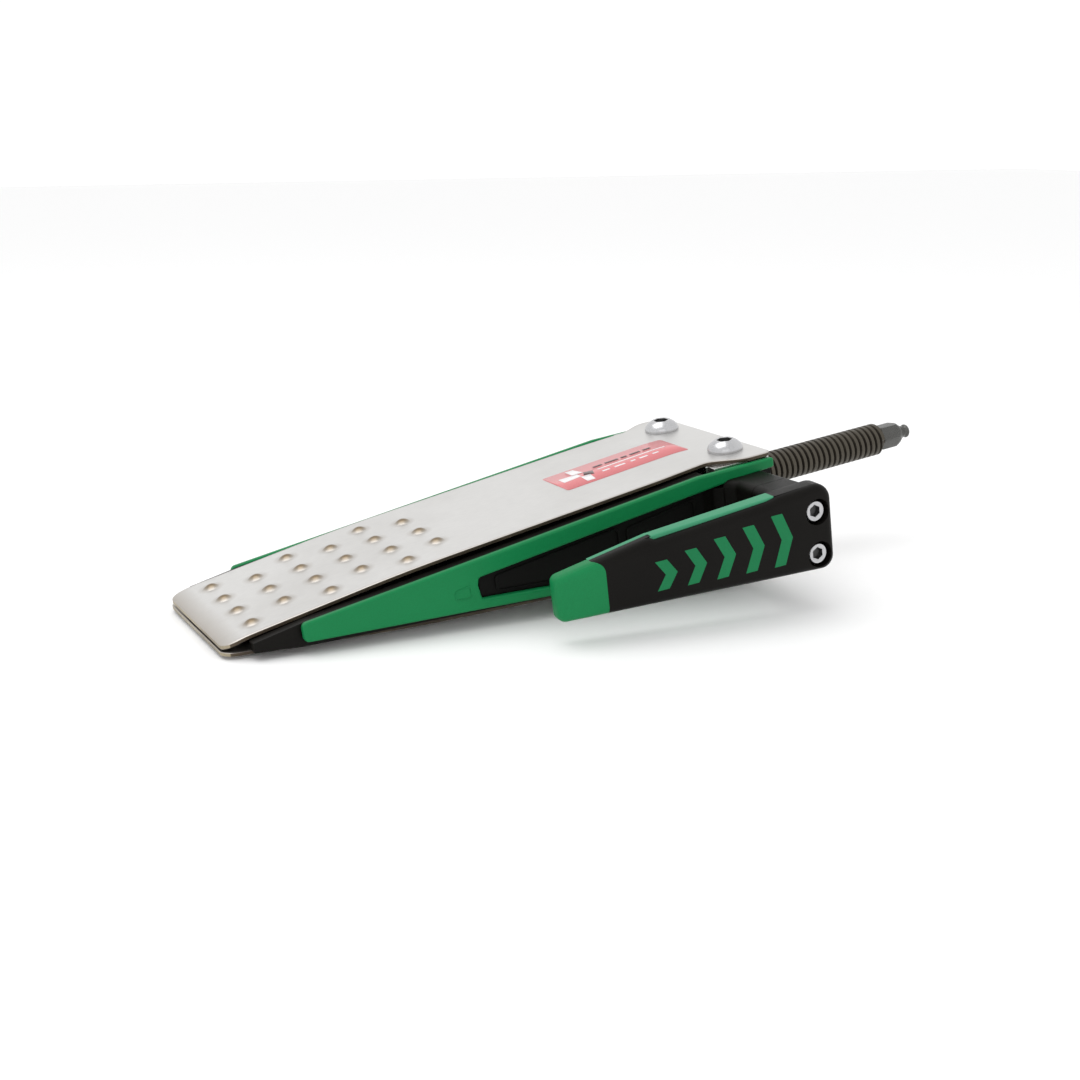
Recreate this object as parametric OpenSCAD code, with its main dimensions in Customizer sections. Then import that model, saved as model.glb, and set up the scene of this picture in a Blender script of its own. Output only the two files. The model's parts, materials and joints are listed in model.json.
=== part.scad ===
// Screw-driven felling wedge: two spring-steel sheets bolted to a nut block, a moulded wedge body that a
// trapezoidal spindle drives forward between them, green side strips and an offset side handle.
// Built in the tool's own frame (x along the spindle axis from the sheet tips, y across, z between the
// sheets), then laid on its front grip bumps and its bolt ends.

/* [Sheets] */
// Width of the blade part of each steel sheet, mm
sheet_w = 100; // [80:1:120]
// Length of the sheets from tip to rear edge, mm
sheet_len = 328; // [300:1:340]
// Thickness of each steel sheet, mm
sheet_t = 2.2; // [1.5:0.1:3.5]
// Outer half height of the sheet pair at the tips, mm
tip_h = 3.15; // [2.9:0.05:4.5]
// Where the bottom sheet's tip stands, mm
tip_x = 1.5; // [0:0.1:4]
// How far the top sheet's tip stands back from the bottom sheet's, mm
tip_back = 0.6; // [0:0.1:3]
// Corner radius of the tips, mm
tip_r = 7; // [4:0.5:12]
// Height of the top sheet's tip, which is pressed down toward the bottom sheet, mm
tip_dip_h = 2; // [1.6:0.1:3]
// Where that dip ends, mm from the tips
tip_dip_x = 14; // [8:1:18]
// Where the sheets change slope, measured from the tips, mm
knee_x = 103; // [80:1:130]
// Outer half height of the sheet pair at the knee, mm
knee_h = 15.8; // [14:0.1:18]
// Where the sheets go flat over the nut block, mm
head_x = 289; // [285:1:292]
// Outer half height of the sheet pair at the nut block, mm
head_h = 30; // [29:0.1:32]
// Half width of the flared sheet heads, mm
head_hw = 59; // [54:0.5:60]

/* [Grip bumps] */
// Rows of embossed grip bumps
bump_rows = 6; // [4:1:8]
// Distance from the tips to the first row, mm
bump_x0 = 22.1; // [18:0.1:30]
// Spacing between rows, mm
bump_pitch = 22.07; // [16:0.01:26]
// Sideways spacing within a row, mm
bump_q = 23.7; // [18:0.1:26]
// Height of a bump, mm
bump_h = 2; // [1:0.1:3]
// Base diameter of a bump, mm
bump_d = 8.6; // [6:0.1:11]

/* [Body] */
// Where the body nose starts, mm from the tips
nose_x = 18; // [14:1:24]
// Half height of the body at its nose, mm
nose_h = 1; // [0.8:0.1:1.2]
// Where the solid body ends and the nut bay starts, mm
bay_x = 283; // [278:1:286]
// Half height of the body at the bay, mm
bay_h = 26.5; // [25:0.1:27]
// Rear end of the body cheeks, mm
rear_x = 327; // [318:1:330]
// Outer half width over the green strips, mm
strip_y = 61.5; // [60:0.1:64]
// Where the green strips start, mm from the tips
strip_x = 40.5; // [36:0.5:50]

/* [Handle] */
// Distance of the arm's outer face from the centre plane at its front, mm
arm_y0 = 107.5; // [95:0.5:115]
// Length of the arm along its outer face, mm
arm_len = 164.5; // [140:1:190]
// Outward lean of the arm toward the rear, degrees
arm_lean = 3.8; // [0:0.1:8]
// Rear end of the arm, mm from the sheet tips
arm_rear = 323.5; // [318:0.5:328]
// Thickness of the arm at its front, mm
arm_t0 = 10.5; // [8:0.5:16]
// Thickness of the arm at its rear, mm
arm_t1 = 15; // [10:0.5:20]
// Top edge of the arm above the spindle's plane: at its front, mm
arm_top0 = 10.5; // [8:0.1:16]
// Top edge of the arm where its slope eases, mm
arm_top1 = 19.2; // [16:0.1:22]
// Top edge of the arm at its rear, mm
arm_top2 = 25.5; // [22:0.1:28]
// Bottom edge of the arm below the spindle's plane: at its front, mm
arm_low0 = 14; // [10:0.1:18]
// Bottom edge of the arm at its rear, mm
arm_low1 = 23.6; // [20:0.1:28]

/* [Spindle] */
// Major diameter of the trapezoidal thread, mm
thread_d = 20; // [16:0.5:24]
// Pitch of the thread, mm
thread_p = 4; // [3:0.5:5]
// Rear end of the thread, mm from the tips
thread_end = 448; // [430:1:460]
// Width across flats of the drive hexagon, mm
hex_af = 14; // [12:0.5:17]

/* [Bolts] */
// Distance of the bolt axes from the tips, mm
bolt_x = 312.3; // [308:0.1:316]
// Half spacing of the two sheet bolts, mm
bolt_y = 34.6; // [30:0.1:40]
// Diameter of the bolt shanks, mm
bolt_d = 12; // [10:0.5:14]
// How far the bolt ends stand below the centre plane, mm
bolt_drop = 45.9; // [44:0.1:50]

/* [Hidden] */
eps = 0.01;
half_w = sheet_w / 2;
front_slope = (knee_h - tip_h) / knee_x;
rear_slope = (head_h - knee_h) / (head_x - knee_x);
body_slope = (bay_h - nose_h) / (bay_x - nose_x);
rail_in = half_w + 0.4;
rail_out = strip_y - 4.3;
flange_y = rail_out - 0.7;
flange_z = 21;
head_in = head_h - sheet_t;
block_x0 = head_x + 0.3;
block_hw = rail_in - 1.4;
thread_r = thread_d / 2;
root_r = thread_r - thread_p * 0.5 - 0.25;
journal_r = 8;
seat_x0 = 246;
seat_r = 19;
ease_u = 57;
liner_u = 131;
liner_t0 = 4.5;
liner_t1 = 8;
cap_u = 28;
bridge_z = 21.5;
neck_z = 17.8;
screw_x = arm_rear - 9.7;
lean_c = cos(arm_lean);
arm_x0 = arm_rear - arm_len * lean_c;
screw_face = -arm_y0 - (screw_x - arm_x0) * tan(arm_lean);
screw_zs = [10.2, -13.8];
seam_y = -84;
hex_len = 16;
bump_lean = atan(front_slope);
bump_tip_r = 1.5;
foot_x = bump_x0 - bump_h * sin(bump_lean) - bump_tip_r * cos(bump_lean);
foot_z = tip_h + front_slope * bump_x0 + bump_h * cos(bump_lean) - bump_tip_r * sin(bump_lean);
rest = atan2(bolt_drop - foot_z, bolt_x - bolt_d / 2 - foot_x);
rest_z = foot_z * cos(rest) - foot_x * sin(rest);
stub_len = 7;
tool_len = thread_end + hex_len + stub_len;
shift_x = -(tip_x + tool_len) * cos(rest) / 2 - 0.3;
shift_y = 28.3;

function outer_z(x) = x < knee_x ? tip_h + front_slope * x : knee_h + rear_slope * (x - knee_x);
function body_z(x) = nose_h + body_slope * (x - nose_x);
function strip_z(x) = min(3.4 + 0.0857 * x, 27.1);
function strip_low(x) = min(0.0935 * x - 0.6, 27.1);
function unit(v) = v / norm(v);
function turn(a) = a > 180 ? a - 360 : (a < -180 ? a + 360 : a);
function arc_pts(c, r, a0, da, n) = [for (i = [0:n]) c + r * [cos(a0 + da * i / n), sin(a0 + da * i / n)]];
function corner(a, b, c, r, n) =
    let (u = unit(a - b), w = unit(c - b), h = acos(u * w) / 2)
    let (m = b + unit(u + w) * r / sin(h), s = b + u * r / tan(h) - m, e = b + w * r / tan(h) - m)
    let (a0 = atan2(s[1], s[0]), a1 = atan2(e[1], e[0]))
    arc_pts(m, r, a0, turn(a1 - a0), n);
function rounded(p, r, n = 4) =
    let (k = len(p))
    [for (i = [0:k - 1]) each r[i] <= 0 ? [p[i]] : corner(p[(i + k - 1) % k], p[i], p[(i + 1) % k], r[i], n)];
function both(p) = concat(p, [for (i = [len(p) - 1:-1:0]) [p[i][0], -p[i][1]]]);

// Lays the tool on its lowest bumps and bolt ends.
module lay() {
    translate([shift_x, shift_y, rest_z])
        rotate([0, -rest, 0])
            children();
}

// Extrudes an x-z outline across y.
module across(y0, y1) {
    translate([0, y1, 0])
        rotate([90, 0, 0])
            linear_extrude(height = y1 - y0)
                children();
}

// Local frame of the arm: x along its outer face to the rear, y inward, z up.
module arm_frame() {
    translate([arm_x0, -arm_y0, 0])
        rotate([0, 0, -arm_lean])
            children();
}

// Turns a solid made along z so that it runs along x from x0.
module along_x(x0) {
    translate([x0, 0, 0])
        rotate([0, 90, 0])
            children();
}

// Turns a solid made along z so that it runs inward across the arm's screw line, from y0.
module along_y(y0, z) {
    translate([screw_x, y0, z])
        rotate([-90, 0, 0])
            children();
}

module ring_x(x0, len, ro, ri) {
    along_x(x0)
        difference() {
            cylinder(h = len, r = ro, $fn = 48);
            translate([0, 0, -1])
                cylinder(h = len + 2, r = ri, $fn = 48);
        }
}

// ---- body ----

module core_outline() {
    polygon(both([[nose_x, nose_h / 2], [nose_x + 2, body_z(nose_x + 2)], [bay_x, bay_h]]));
}

module rail_outline() {
    polygon(both([[nose_x - 2.5, 2.6], [46, strip_z(46) - 1], [bay_x, strip_z(bay_x) - 1],
        [bay_x, flange_z - 0.6], [rear_x, flange_z - 0.6]]));
}

module bridge_plan() {
    polygon(rounded([[284, -rail_out + 0.3], [292, -rail_out - 4], [301, -72], [303, seam_y],
        [324, seam_y], [320, -rail_out + 0.3]], [0, 5, 6, 0, 0, 0]));
}

// The bridge is lower where it passes between the two bars of the green strip.
module bridge() {
    difference() {
        translate([0, 0, -bridge_z])
            linear_extrude(height = 2 * bridge_z)
                bridge_plan();
        for (s = [-1, 1])
            translate([270, -strip_y - 0.3, s > 0 ? neck_z : -neck_z - 10])
                cube([70, 10, 10]);
    }
}

module wedge_body() {
    color([0.10, 0.10, 0.09])
        lay()
            difference() {
                union() {
                    across(-rail_in, rail_in)
                        core_outline();
                    across(-rail_out, -rail_in)
                        rail_outline();
                    across(rail_in, rail_out)
                        rail_outline();
                    bridge();
                }
                along_x(seat_x0)
                    cylinder(h = 60, r = seat_r, $fn = 48);
                along_x(seat_x0 - 3)
                    cylinder(h = 10, r = 10, $fn = 48);
                for (z = screw_zs)
                    along_y(seam_y - 1, z)
                        cylinder(h = 16, r = 4.8, $fn = 32);
            }
}

// Green strip: a long tapered bar that forks into an upper and a lower rail round a dark window.
function window_z(x) = 5.1 + 0.0925 * (x - 138);
function window_low(x) = 6.4 + 0.1045 * (x - 138);

module strip_outline(g) {
    polygon(rounded([[strip_x + g, -strip_low(strip_x) + g], [strip_x + g, strip_z(strip_x) - g],
        [277, strip_z(277) - g], [rear_x - g, 27.1 - g], [rear_x - g, 21.5 + g],
        [287, window_z(287) + g], [138.4 - g, window_z(139) + g], [137.4 - g, window_z(139) - 4],
        [138.8 - g, -window_low(139) - g], [281, -window_low(281) - g], [rear_x - g, -21.5 - g],
        [rear_x - g, -27.1 + g], [297, -strip_low(297) + g]],
        [3, 3, 0, 1.4, 1.4, 0, 1.6, 0, 1.6, 0, 1.4, 1.4, 0]));
}

module strip_right() {
    across(rail_out, strip_y - 1.6)
        strip_outline(0);
    across(strip_y - 1.6, strip_y)
        strip_outline(1.3);
    translate([129, strip_y - eps, 0])
        across(0, 0.3)
            polygon(rounded([[-5.5, -3.6], [-5.5, 1.6], [4, 2.7], [4, -4.4]], [2, 2, 1, 1]));
}

module side_strip_far() {
    color([0.13, 0.48, 0.29])
        lay()
            strip_right();
}

module side_strip_near() {
    color([0.13, 0.48, 0.29])
        lay()
            mirror([0, 1, 0])
                strip_right();
}

module panel_right(x1) {
    across(rail_out, rail_out + 1.2)
        polygon([[139.6, -window_low(139) + 0.5], [139.6, window_z(139) - 0.5], [x1, window_z(x1) - 0.5],
            [x1, -min(window_low(x1), 21.3) + 0.5]]);
    across(rail_out + 1.2 - eps, rail_out + 2)
        polygon(rounded([[148, -5], [148, 3.2], [225, window_z(225) - 2.4], [225, -window_low(225) + 2.6]],
            [2, 2, 3, 3]));
    across(rail_out + 1.2 - eps, rail_out + 1.8)
        polygon(rounded([[229, -8], [229, 8.5], [x1 - 6, window_z(x1 - 6) - 2.6], [x1 - 6, -12]],
            [3, 3, 2, 2]));
}

module inset_panel_far() {
    color([0.07, 0.07, 0.065])
        lay()
            panel_right(rear_x - 4);
}

module inset_panel_near() {
    color([0.07, 0.07, 0.065])
        lay()
            mirror([0, 1, 0])
                panel_right(280);
}

// ---- handle ----

module arm_side(u0, u1, g) {
    polygon([[u0, arm_top(u0) - g], [ease_u, arm_top1 - g], [u1, arm_top(u1) - g],
        [u1, -arm_low(u1) + g], [u0, -arm_low(u0) + g]]);
}

function arm_top(u) = u < ease_u ? arm_top0 + (arm_top1 - arm_top0) * u / ease_u
    : arm_top1 + (arm_top2 - arm_top1) * (u - ease_u) / (arm_len - ease_u);
function arm_low(u) = arm_low0 + (arm_low1 - arm_low0) * u / arm_len;

module arm_rear_side() {
    polygon(rounded([[cap_u, arm_top(cap_u)], [ease_u, arm_top1], [arm_len, arm_top(arm_len)],
        [arm_len, -arm_low(arm_len)], [cap_u, -arm_low(cap_u)]], [0, 0, 5.5, 5.5, 0]));
}

function arm_in(u) = arm_t0 + (arm_t1 - arm_t0) * u / arm_len;

// Plan of a layer of the arm, from depth d0 to d1 below its inner face.
module arm_layer(u0, u1, d0, d1) {
    translate([0, 0, -40])
        linear_extrude(height = 80)
            polygon([[u0, arm_in(u0) - d0], [u1, arm_in(u1) - d0], [u1, arm_in(u1) - d1],
                [u0, arm_in(u0) - d1]]);
}

module handle_arm() {
    color([0.10, 0.10, 0.09])
        lay()
            difference() {
                union() {
                    arm_frame()
                        difference() {
                            across(0, arm_t1)
                                arm_rear_side();
                            arm_layer(cap_u - 4, arm_len + 1, -9, 0);
                            arm_layer(cap_u - 4, ease_u, -1, liner_t0);
                            arm_layer(ease_u, liner_u, -1, liner_t1);
                        }
                    translate([0, 0, -bridge_z])
                        linear_extrude(height = 2 * bridge_z)
                            polygon(rounded([[303, seam_y - 0.2], [304, -95], [296, -105], [318, -112],
                                [324.4, -105], [324.2, seam_y - 0.2]], [0, 7, 0, 0, 0, 0]));
                }
                for (z = screw_zs) {
                    along_y(screw_face - 2, z)
                        cylinder(h = 10.4, r = 7.6, $fn = 32);
                    along_y(screw_face - 2, z)
                        cylinder(h = 40, r = 4.3, $fn = 32);
                }
            }
}

module handle_cap() {
    color([0.13, 0.48, 0.29])
        lay()
            arm_frame()
                intersection() {
                    across(0, arm_t1)
                        polygon(rounded([[0, arm_top(0)], [cap_u, arm_top(cap_u)],
                            [cap_u, -arm_low(cap_u)], [0, -arm_low(0)]], [4, 0, 0, 5]));
                    translate([0, 0, -30])
                        linear_extrude(height = 60)
                            polygon(rounded([[0, 0], [cap_u + 5, 0], [cap_u + 5, arm_in(cap_u + 5)],
                                [0, arm_t0]], [4, 0, 0, 4]));
                }
}

module handle_liner() {
    color([0.36, 0.72, 0.55])
        lay()
            arm_frame()
                intersection() {
                    across(0, arm_t1)
                        arm_side(cap_u, liner_u, 0.4);
                    union() {
                        arm_layer(cap_u, ease_u + eps, 0, liner_t0);
                        arm_layer(ease_u, liner_u, 0, liner_t1);
                    }
                }
}

module handle_graphic() {
    color([0.16, 0.53, 0.33])
        lay()
            arm_frame()
                across(-0.4, 0)
                    for (i = [0:4])
                        translate([58 + i * 16, -2 + i * 0.6])
                            polygon([[0, -7 - i], [7, -7 - i], [12, 0], [7, 7 + i], [0, 7 + i], [5, 0]]);
}

module handle_screws() {
    color([0.86, 0.86, 0.86])
        lay()
            for (z = screw_zs)
                along_y(screw_face + 2.4, z)
                    difference() {
                        union() {
                            cylinder(h = 6, r = 6.2, $fn = 32);
                            cylinder(h = 43, r = 4, $fn = 32);
                        }
                        translate([0, 0, -1])
                            cylinder(h = 5, r = 3.7, $fn = 6);
                    }
}

module handle_inserts() {
    color([0.72, 0.58, 0.30])
        lay()
            for (z = screw_zs)
                along_y(seam_y + 1, z)
                    difference() {
                        cylinder(h = 13, r = 4.8, $fn = 32);
                        translate([0, 0, -1])
                            cylinder(h = 15, r = 4.05, $fn = 32);
                    }
}

// ---- thrust bearing ----

module thrust_seat() {
    color([0.62, 0.62, 0.60])
        lay() {
            ring_x(seat_x0, 4, seat_r, 8.6);
            ring_x(seat_x0 + 4 - eps, 26, seat_r, 16.4);
        }
}

module thrust_race() {
    color([0.75, 0.75, 0.74])
        lay()
            ring_x(seat_x0 + 4, 3, 16, 9);
}

module thrust_cage() {
    color([0.72, 0.58, 0.30])
        lay()
            difference() {
                ring_x(seat_x0 + 8.6, 1.6, 15.6, 9.2);
                for (i = [0:9])
                    rotate([36 * i, 0, 0])
                        translate([seat_x0 + 7, 0, 12.4])
                            rotate([0, 90, 0])
                                cylinder(h = 5, r = 2.5, $fn = 24);
            }
}

module thrust_balls() {
    color([0.85, 0.85, 0.85])
        lay()
            for (i = [0:9])
                rotate([36 * i, 0, 0])
                    translate([seat_x0 + 9.4, 0, 12.4])
                        sphere(r = 2.4, $fn = 20);
}

module bearing_cover() {
    color([0.62, 0.62, 0.60])
        lay()
            difference() {
                ring_x(bay_x - 7 - eps, 5, seat_r - 0.1, 9);
                for (i = [0:3])
                    rotate([45 + 90 * i, 0, 0])
                        translate([bay_x - 9, 0, 14.6])
                            rotate([0, 90, 0])
                                cylinder(h = 9, r = 1.7, $fn = 24);
            }
}

module cover_screws() {
    color([0.30, 0.30, 0.30])
        lay()
            for (i = [0:3])
                rotate([45 + 90 * i, 0, 0])
                    translate([bay_x - 7.2, 0, 14.6])
                        rotate([0, 90, 0])
                            union() {
                                cylinder(h = 5.4, r = 1.6, $fn = 24);
                                translate([0, 0, 5.2])
                                    cylinder(h = 2, r = 3, $fn = 24);
                            }
}

// ---- nut block and what is bolted to it ----

module nut_block() {
    color([0.80, 0.80, 0.79])
        lay()
            difference() {
                union() {
                    across(-block_hw, block_hw)
                        polygon([[block_x0, -head_in], [block_x0, head_in], [sheet_len, head_in],
                            [sheet_len, -head_in]]);
                    for (s = [-1, 1])
                        across(-flange_y, flange_y)
                            polygon([[block_x0 + 1, s * flange_z], [block_x0 + 1, s * head_in],
                                [sheet_len - 1, s * head_in], [sheet_len - 1, s * flange_z]]);
                }
                along_x(block_x0 - 1)
                    cylinder(h = 60, r = 15, $fn = 48);
                for (y = [-1, 1])
                    translate([bolt_x, y * bolt_y, -40])
                        cylinder(h = 80, r = bolt_d / 2 + 0.1, $fn = 32);
            }
}

module bronze_nut() {
    color([0.72, 0.56, 0.28])
        lay()
            difference() {
                union() {
                    along_x(block_x0)
                        cylinder(h = sheet_len - block_x0, r = 15, $fn = 48);
                    along_x(sheet_len - eps)
                        cylinder(h = 4, r = 22, $fn = 48);
                }
                along_x(block_x0 - 1)
                    cylinder(h = 60, r = thread_r + 0.5, $fn = 48);
                for (i = [0:3])
                    rotate([90 * i + 45, 0, 0])
                        translate([sheet_len - 2, 0, 18.4])
                            rotate([0, 90, 0])
                                cylinder(h = 9, r = 1.8, $fn = 24);
            }
}

module nut_screws() {
    color([0.30, 0.30, 0.30])
        lay()
            for (i = [0:3])
                rotate([90 * i + 45, 0, 0])
                    translate([sheet_len, 0, 18.4])
                        rotate([0, 90, 0])
                            union() {
                                cylinder(h = 4.2, r = 1.7, $fn = 24);
                                translate([0, 0, 4])
                                    cylinder(h = 2.2, r = 3.2, $fn = 24);
                            }
}

module sheet_bolts() {
    color([0.84, 0.84, 0.83])
        lay()
            for (y = [-1, 1])
                translate([bolt_x, y * bolt_y, head_h])
                    difference() {
                        union() {
                            rotate_extrude($fn = 48)
                                polygon([[0, 0], [10.5, 0], [10.5, 1.2], [9.9, 2.9], [8.6, 4.6], [6.8, 5.9],
                                    [5, 6.6], [0, 6.6]]);
                            translate([0, 0, -head_h - bolt_drop])
                                cylinder(h = head_h + bolt_drop + 0.5, r = bolt_d / 2, $fn = 32);
                        }
                        translate([0, 0, 2.2])
                            cylinder(h = 6, r = 4.62, $fn = 6);
                    }
}

module nut_washers() {
    color([0.78, 0.78, 0.77])
        lay()
            for (y = [-1, 1])
                translate([bolt_x, y * bolt_y, -head_h - 2.5])
                    difference() {
                        cylinder(h = 2.5, r = 12, $fn = 48);
                        translate([0, 0, -1])
                            cylinder(h = 5, r = bolt_d / 2 + 0.1, $fn = 32);
                    }
}

module lock_nuts() {
    color([0.70, 0.70, 0.69])
        lay()
            for (y = [-1, 1])
                translate([bolt_x, y * bolt_y, -head_h - 12.5])
                    difference() {
                        union() {
                            translate([0, 0, 2.4])
                                cylinder(h = 7.6, r = 10.9, $fn = 6);
                            cylinder(h = 3, r = 8.4, $fn = 32);
                        }
                        translate([0, 0, -1])
                            cylinder(h = 14, r = bolt_d / 2 + 0.1, $fn = 32);
                    }
}

module head_plan() {
    polygon(rounded([[head_x + 0.2, -48.4], [head_x + 0.2, 48.4], [298, 49.6], [312, head_hw - 0.8],
        [sheet_len - 5, head_hw], [sheet_len, head_hw - 6], [sheet_len, -head_hw + 6],
        [sheet_len - 5, -head_hw], [312, -head_hw + 0.8], [298, -49.6]],
        [0, 0, 9, 7, 3, 3, 3, 3, 7, 9]));
}

module head_sheet() {
    translate([0, 0, head_in])
        difference() {
            linear_extrude(height = sheet_t)
                head_plan();
            for (y = [-1, 1])
                translate([bolt_x, y * bolt_y, -1])
                    cylinder(h = 5, r = bolt_d / 2 + 0.1, $fn = 32);
        }
}

module sheet_head_top() {
    color([0.86, 0.86, 0.85])
        lay()
            head_sheet();
}

module sheet_head_bottom() {
    color([0.86, 0.86, 0.85])
        lay()
            mirror([0, 0, 1])
                head_sheet();
}

// ---- sheet blades ----

module blade_side(x0, z0) {
    polygon([[x0, z0 - sheet_t], [x0, z0], [tip_dip_x, outer_z(tip_dip_x)],
        [knee_x, knee_h], [head_x - 0.2, outer_z(head_x - 0.2)],
        [head_x - 0.2, outer_z(head_x - 0.2) - sheet_t], [knee_x, knee_h - sheet_t],
        [tip_dip_x, outer_z(tip_dip_x) - sheet_t]]);
}

module blade_plan(x0) {
    polygon(rounded([[x0, -half_w], [x0, half_w], [head_x - 30, half_w], [head_x, 48.4],
        [head_x, -48.4], [head_x - 30, -half_w]], [tip_r, tip_r, 0, 0, 0, 0]));
}

module bump(x, y) {
    s = x < knee_x ? front_slope : rear_slope;
    translate([x, y, outer_z(x)])
        rotate([0, -atan(s), 0])
            translate([0, 0, -0.6]) {
                cylinder(h = 0.6 + bump_h * 0.6, r1 = bump_d / 2 + 0.6, r2 = bump_d / 2 - 1.5, $fn = 24);
                cylinder(h = 0.6 + bump_h, r1 = bump_d / 2 - 0.8, r2 = bump_tip_r, $fn = 24);
            }
}

module blade(x0, z0) {
    intersection() {
        across(-half_w - 1, half_w + 1)
            blade_side(x0, z0);
        translate([0, 0, -5])
            linear_extrude(height = 60)
                blade_plan(x0);
    }
    for (i = [0:bump_rows - 1])
        for (k = [0:3 - i % 2])
            bump(bump_x0 + i * bump_pitch, (k - (3 - i % 2) / 2) * bump_q);
}

module sheet_blade_top() {
    color([0.86, 0.86, 0.85])
        lay()
            blade(tip_x + tip_back, tip_dip_h);
}

module sheet_blade_bottom() {
    color([0.86, 0.86, 0.85])
        lay()
            mirror([0, 0, 1])
                blade(tip_x, outer_z(tip_x));
}

module on_sheet(x) {
    translate([x, 0, outer_z(x)])
        rotate([0, -atan(rear_slope), 0])
            children();
}

module label_plate() {
    color([0.92, 0.60, 0.60])
        lay()
            on_sheet(218)
                translate([0, -17, 0])
                    cube([70, 32, 0.25]);
}

module label_marks() {
    color([0.92, 0.90, 0.90])
        lay()
            on_sheet(218)
                translate([0, 0, 0.25])
                    linear_extrude(height = 0.15) {
                        polygon([[5, -3], [5, 4], [17, 3], [17, -2]]);
                        polygon([[14, 4], [14, 12], [19, 12], [21, 4]]);
                        polygon([[15, -4], [14, -12], [19, -13], [21, -4]]);
                        for (i = [0:4])
                            translate([28 + i * 8, 4])
                                square([6, 2]);
                        for (i = [0:3])
                            translate([28 + i * 9, -7])
                                square([7, 2]);
                    }
}

// ---- spindle ----

module spindle_journal() {
    color([0.36, 0.35, 0.32])
        lay()
            along_x(seat_x0 + 8)
                cylinder(h = bay_x + 6 - seat_x0 - 8, r = journal_r, $fn = 48);
}

module thrust_collar() {
    color([0.36, 0.35, 0.32])
        lay()
            ring_x(seat_x0 + 12.3, 11, 15.4, journal_r);
}

module collar_ring() {
    color([0.30, 0.30, 0.30])
        lay()
            ring_x(seat_x0 + 23.3, 2, 11, journal_r);
}

function tooth(x) = [[root_r, x + 0.5], [thread_r, x + 1.35], [thread_r, x + 2.65], [root_r, x + 3.5]];

module spindle_thread() {
    t0 = bay_x + 6;
    turns = floor((thread_end - t0 - 2) / thread_p);
    color([0.30, 0.28, 0.25])
        lay()
            along_x(t0)
                rotate_extrude($fn = 32)
                    polygon(concat([[0, 0], [root_r, 0]],
                        [for (i = [0:turns - 1]) each tooth(i * thread_p + 0.5)],
                        [[root_r, thread_end - t0 - 0.5], [root_r - 0.5, thread_end - t0],
                        [0, thread_end - t0]]));
}

module drive_hex() {
    hr = hex_af / 2 / cos(30);
    color([0.30, 0.29, 0.27])
        lay()
            along_x(thread_end)
                intersection() {
                    cylinder(h = hex_len, r = hr, $fn = 6);
                    union() {
                        translate([0, 0, -eps])
                            cylinder(h = hex_len - 4 + 2 * eps, r = hr + 0.6, $fn = 48);
                        translate([0, 0, hex_len - 4])
                            cylinder(h = 4.01, r1 = hr + 0.6, r2 = hr - 2.6, $fn = 48);
                    }
                }
}

module pilot_stub() {
    color([0.36, 0.35, 0.32])
        lay()
            along_x(thread_end + hex_len)
                rotate_extrude($fn = 48)
                    polygon([[0, 0], [4.2, 0], [4.2, 2], [3.3, 2.6], [3.3, 3.6], [4.2, 4.2],
                        [4.2, stub_len - 0.8], [3.4, stub_len], [0, stub_len]]);
}

wedge_body();
side_strip_near();
side_strip_far();
inset_panel_near();
inset_panel_far();
handle_arm();
handle_cap();
handle_liner();
handle_graphic();
handle_screws();
handle_inserts();
thrust_seat();
thrust_race();
thrust_cage();
thrust_balls();
bearing_cover();
cover_screws();
nut_block();
bronze_nut();
nut_screws();
sheet_bolts();
nut_washers();
lock_nuts();
sheet_head_top();
sheet_head_bottom();
sheet_blade_top();
label_plate();
label_marks();
sheet_blade_bottom();
spindle_journal();
thrust_collar();
collar_ring();
spindle_thread();
drive_hex();
pilot_stub();
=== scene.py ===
import json
import math

import bmesh
import bpy
from mathutils import Matrix, Vector


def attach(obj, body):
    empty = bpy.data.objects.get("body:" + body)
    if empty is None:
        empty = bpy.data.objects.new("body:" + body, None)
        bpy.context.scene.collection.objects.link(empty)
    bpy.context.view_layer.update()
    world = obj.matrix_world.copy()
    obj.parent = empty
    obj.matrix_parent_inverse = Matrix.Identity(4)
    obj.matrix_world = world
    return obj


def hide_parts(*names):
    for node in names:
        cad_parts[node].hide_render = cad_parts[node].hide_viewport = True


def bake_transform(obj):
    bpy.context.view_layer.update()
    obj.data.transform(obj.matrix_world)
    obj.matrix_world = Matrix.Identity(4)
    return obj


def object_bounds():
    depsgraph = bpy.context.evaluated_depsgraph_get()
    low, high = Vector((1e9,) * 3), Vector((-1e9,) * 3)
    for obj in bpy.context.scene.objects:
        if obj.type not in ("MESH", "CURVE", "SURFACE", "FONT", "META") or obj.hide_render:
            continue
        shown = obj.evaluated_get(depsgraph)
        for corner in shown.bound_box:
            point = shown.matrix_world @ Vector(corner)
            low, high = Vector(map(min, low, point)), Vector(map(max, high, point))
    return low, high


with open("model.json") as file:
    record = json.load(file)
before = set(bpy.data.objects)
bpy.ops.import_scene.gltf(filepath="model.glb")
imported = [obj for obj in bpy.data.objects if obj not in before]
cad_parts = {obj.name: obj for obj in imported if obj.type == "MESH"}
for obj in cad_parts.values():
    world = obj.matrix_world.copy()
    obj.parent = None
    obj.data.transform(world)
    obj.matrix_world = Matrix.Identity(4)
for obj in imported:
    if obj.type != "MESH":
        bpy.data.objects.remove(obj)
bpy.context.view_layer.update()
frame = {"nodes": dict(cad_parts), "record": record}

# ---- the tool's own frame, in mm: x along the spindle from the tips, y across, z between the sheets ----

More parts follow.
